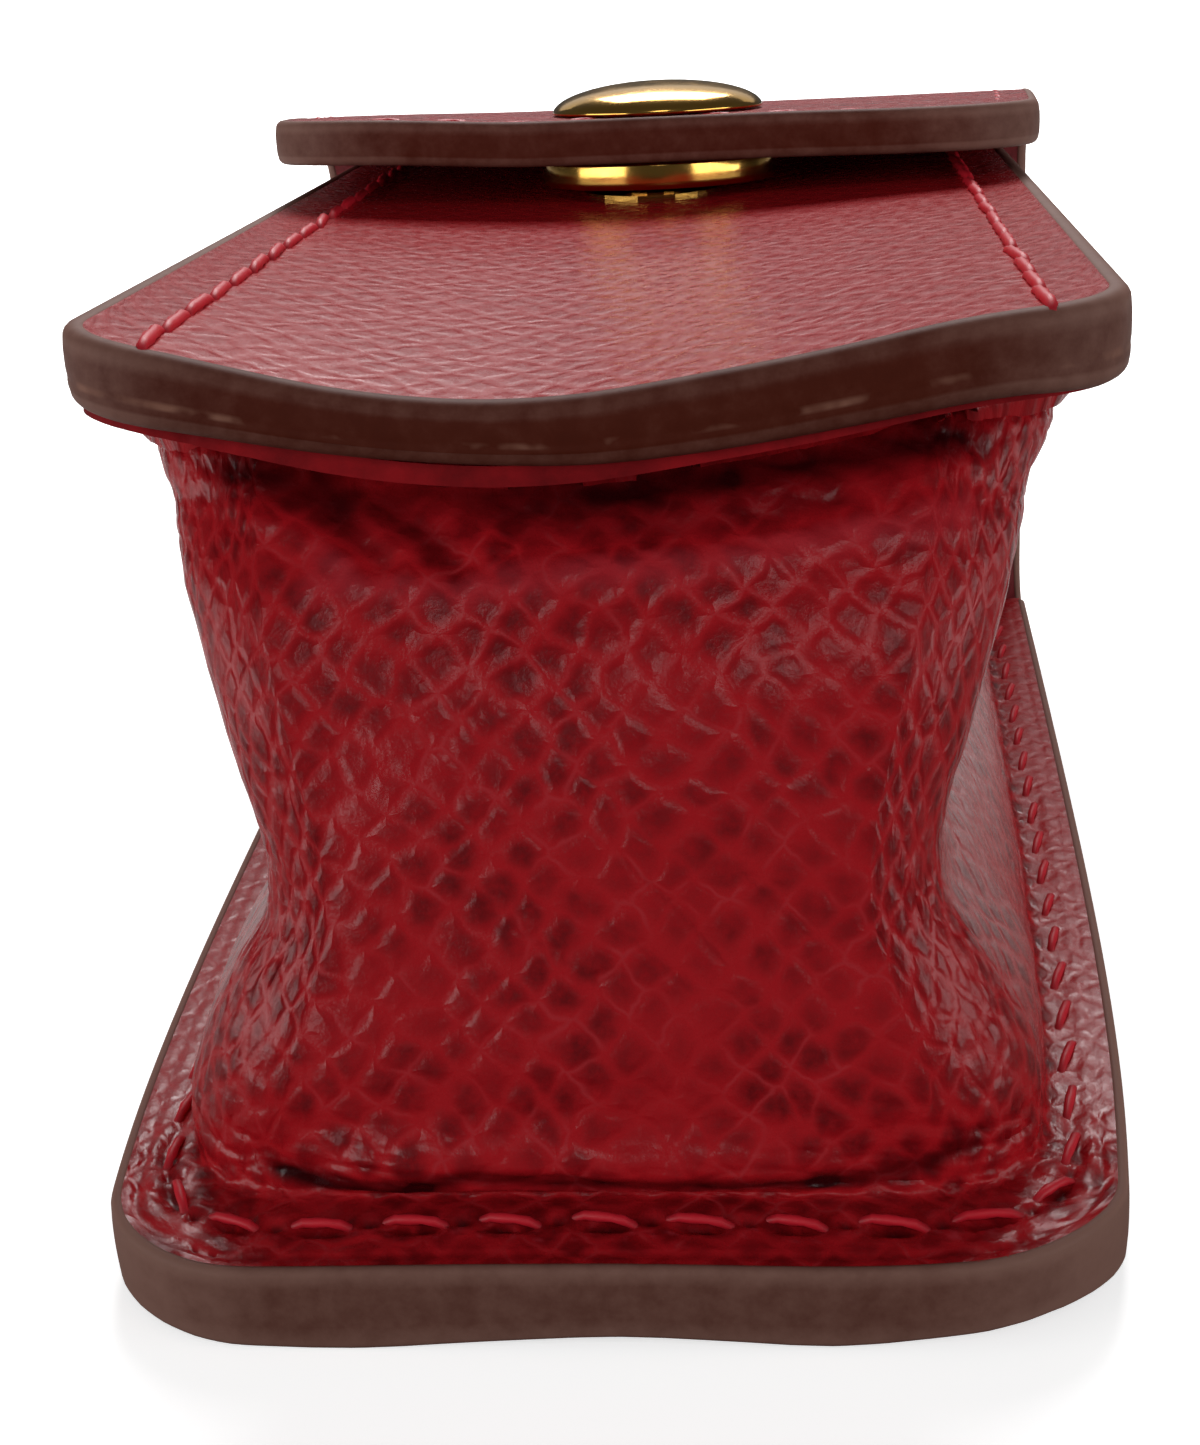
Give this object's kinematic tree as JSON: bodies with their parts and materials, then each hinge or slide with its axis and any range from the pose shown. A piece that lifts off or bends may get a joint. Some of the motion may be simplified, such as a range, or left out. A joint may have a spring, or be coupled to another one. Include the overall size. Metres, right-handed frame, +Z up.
{
  "type": "lighter case",
  "caption": "Gusseted leather lighter case lying on its back panel, with a wrap-over flap that snaps shut on the front panel.",
  "frame": {"origin": "middle of the bounding box in X and Y, at the height of the surface that the back panel lies on", "axes": "+Z up, away from the back panel; +Y from the closed bottom end to the mouth; X across the width"},
  "size_m": [0.0442, 0.08, 0.0382],
  "materials": {
    "leather_red": "deep red grained calf leather, semi-gloss",
    "lining_red": "smooth red lining leather, matte",
    "brass": "polished brass",
    "edge_paint": "dark brown painted and burnished leather edge, rubbed lighter on its rim",
    "thread_red": "waxed linen thread, bright red"
  },
  "bodies": {
    "case": {"back_outer": "leather_red", "back_lining": "lining_red", "front_outer": "leather_red", "front_lining": "lining_red", "gusset_outer": "leather_red", "gusset_lining": "lining_red", "snap_stud": "brass", "snap_post": "brass", "rear_fold_outer": "leather_red", "rear_fold_lining": "lining_red"},
    "cover": {"cover_outer": "leather_red", "cover_lining": "lining_red", "front_fold_outer": "leather_red", "front_fold_lining": "lining_red"},
    "flap": {"flap_outer": "leather_red", "flap_lining": "lining_red", "snap_cap": "brass", "snap_socket": "brass", "snap_spring": "brass"}
  },
  "joints": [
    {"name": "cover_hinge", "type": "hinge", "parent": "case", "child": "cover", "pos_m": [0, 0.03806, 0.00194], "axis": [-1, 0, 0], "range_deg": [0, 90], "deforming": ["rear_fold_outer", "rear_fold_lining"]},
    {"name": "flap_hinge", "type": "hinge", "parent": "cover", "child": "flap", "pos_m": [0, 0.0383, 0.03329], "axis": [-1, 0, 0], "range_deg": [0, 82], "deforming": ["front_fold_outer", "front_fold_lining"]}
  ]
}
